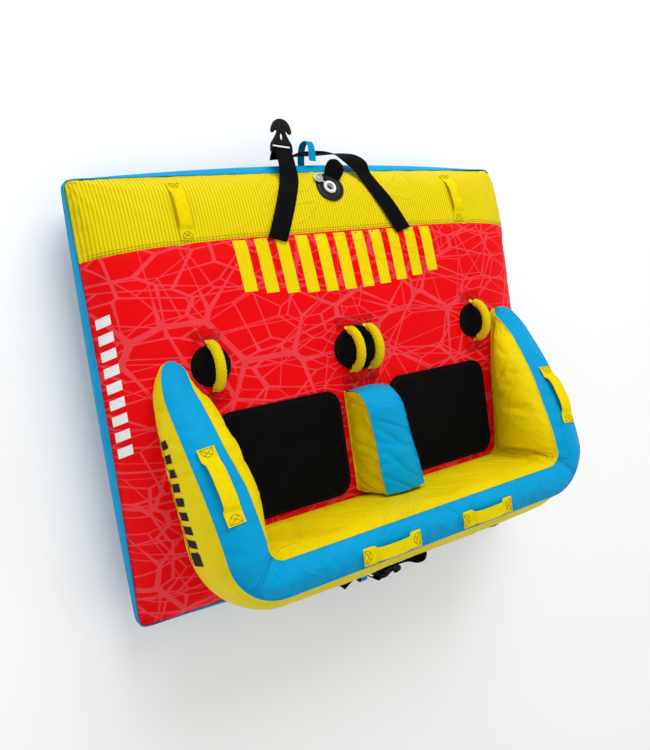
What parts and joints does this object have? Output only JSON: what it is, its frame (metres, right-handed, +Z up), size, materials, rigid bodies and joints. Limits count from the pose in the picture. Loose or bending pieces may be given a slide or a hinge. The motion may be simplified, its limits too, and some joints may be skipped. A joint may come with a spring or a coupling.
{
  "type": "towable tube",
  "caption": "Inflatable towable tube: rectangular deck with a U-shaped backrest bolster, centre divider, seat pads, padded grips, webbing handles, valves and towing harnesses with hooks.",
  "frame": {"origin": "centre of the flat underside of the deck, on the surface the tube lies on", "axes": "+Z up, +Y towards the front tow hook, +X to the right of riders who face forwards"},
  "size_m": [1.618, 1.5631, 0.6036],
  "materials": {
    "red_cover": "coated nylon with a printed crackle pattern",
    "yellow_cover": "coated nylon, satin",
    "blue_cover": "coated nylon, satin",
    "bottom_cover": "coated nylon, satin",
    "bladder": "welded film, gloss",
    "foam": "closed-cell foam, matte",
    "neoprene": "knit-faced foam rubber, matte",
    "yellow_webbing": "woven webbing",
    "grip_fleece": "woven tube over foam, fuzzy",
    "red_patch": "coated nylon, stitched",
    "black_webbing": "woven webbing",
    "blue_webbing": "woven webbing",
    "moulded_black": "moulded, semi-matte",
    "valve_white": "moulded, satin",
    "collar_rubber": "moulded, glossy",
    "black_rubber": "moulded, matte",
    "clear_plastic": "soft clear moulding",
    "zip_tape": "woven tape with coil teeth",
    "zip_metal": "plated casting"
  },
  "bodies": {
    "tube": {"bolster_bladder": "bladder", "bolster_cap_panel": "blue_cover", "bolster_inner_panel": "yellow_cover", "bolster_outer_panel": "yellow_cover", "bolster_valve": "black_rubber", "deck_bladder": "bladder", "deck_bottom_panel": "bottom_cover", "deck_front_panel": "yellow_cover", "deck_side_band": "blue_cover", "deck_top_panel": "red_cover", "divider_cap_panel": "blue_cover", "divider_core": "foam", "divider_left_panel": "yellow_cover", "divider_right_panel": "yellow_cover", "grip_tail_1_front": "yellow_webbing", "grip_tail_1_rear": "yellow_webbing", "grip_tail_2_front": "yellow_webbing", "grip_tail_2_rear": "yellow_webbing", "grip_tail_3_front": "yellow_webbing", "grip_tail_3_rear": "yellow_webbing", "grip_tail_4_front": "yellow_webbing", "grip_tail_4_rear": "yellow_webbing", "guide_loop_front": "blue_webbing", "guide_loop_rear": "blue_webbing", "handle_arm_left": "yellow_webbing", "handle_arm_right": "yellow_webbing", "handle_front_left": "yellow_webbing", "handle_front_right": "yellow_webbing", "handle_rear_left": "yellow_webbing", "handle_rear_right": "yellow_webbing", "knuckle_pad_centre": "neoprene", "knuckle_pad_left": "neoprene", "knuckle_pad_right": "neoprene", "patch_centre_front": "red_patch", "patch_centre_rear": "red_patch", "patch_left_front": "red_patch", "patch_left_rear": "red_patch", "patch_right_front": "red_patch", "patch_right_rear": "red_patch", "seat_pad_left": "neoprene", "seat_pad_right": "neoprene", "tow_strap_front": "black_webbing", "tow_strap_rear": "black_webbing", "valve_body": "valve_white", "valve_collar": "collar_rubber", "zip_tape": "zip_tape"},
    "grip_1": {"grip_core_1": "yellow_webbing", "grip_sleeve_1": "grip_fleece"},
    "grip_2": {"grip_core_2": "yellow_webbing", "grip_sleeve_2": "grip_fleece"},
    "grip_3": {"grip_core_3": "yellow_webbing", "grip_sleeve_3": "grip_fleece"},
    "grip_4": {"grip_core_4": "yellow_webbing", "grip_sleeve_4": "grip_fleece"},
    "valve_plug": {"valve_plug": "clear_plastic"},
    "valve_flap": {"valve_flap": "neoprene"},
    "valve_flapper": {"valve_flapper": "black_rubber"},
    "tow_hook_front": {"tow_hook_front": "moulded_black"},
    "tow_hook_rear": {"tow_hook_rear": "moulded_black"},
    "zip_slider": {"zip_slider": "zip_metal"}
  },
  "joints": [
    {"name": "grip_left_tilt", "type": "hinge", "parent": "tube", "child": "grip_1", "pos_m": [-0.508, 0.081, 0.2852], "axis": [0, 1, 0], "range_deg": [-50, 50], "stiffness_Nm_per_rad": 0.2},
    {"name": "grip_centre_left_tilt", "type": "hinge", "parent": "tube", "child": "grip_2", "pos_m": [-0.036, 0.0575, 0.2852], "axis": [0, 1, 0], "range_deg": [-50, 50], "stiffness_Nm_per_rad": 0.2},
    {"name": "grip_centre_right_tilt", "type": "hinge", "parent": "tube", "child": "grip_3", "pos_m": [0.036, 0.0575, 0.2852], "axis": [0, 1, 0], "range_deg": [-50, 50], "stiffness_Nm_per_rad": 0.2},
    {"name": "grip_right_tilt", "type": "hinge", "parent": "tube", "child": "grip_4", "pos_m": [0.508, 0.081, 0.2852], "axis": [0, 1, 0], "range_deg": [-50, 50], "stiffness_Nm_per_rad": 0.2},
    {"name": "front_hook_swing", "type": "hinge", "parent": "tube", "child": "tow_hook_front", "pos_m": [-0.125, 0.705, 0.18], "axis": [0.9925, -0.1219, 0], "range_deg": [-14, 48]},
    {"name": "rear_hook_swing", "type": "hinge", "parent": "tube", "child": "tow_hook_rear", "pos_m": [0.022, -0.744, 0.16], "axis": [0, 0, 1], "range_deg": [-80, 2]},
    {"name": "valve_plug_swing", "type": "hinge", "parent": "tube", "child": "valve_plug", "pos_m": [-0.01774, 0.59399, 0.23652], "axis": [0.6561, 0.7016, -0.2782], "range_deg": [0, 155]},
    {"name": "valve_flap_fold", "type": "hinge", "parent": "tube", "child": "valve_flap", "pos_m": [0.01878, 0.61223, 0.22853], "axis": [0.8829, -0.4364, 0.1731], "range_deg": [0, 110]},
    {"name": "valve_flapper_open", "type": "slide", "parent": "tube", "child": "valve_flapper", "axis": [0, -0.3686, -0.9296], "range_m": [0, 0.003], "stiffness_N_per_m": 60},
    {"name": "zip_slide", "type": "slide", "parent": "tube", "child": "zip_slider", "axis": [1, 0, 0], "range_m": [0, 0.54]}
  ]
}
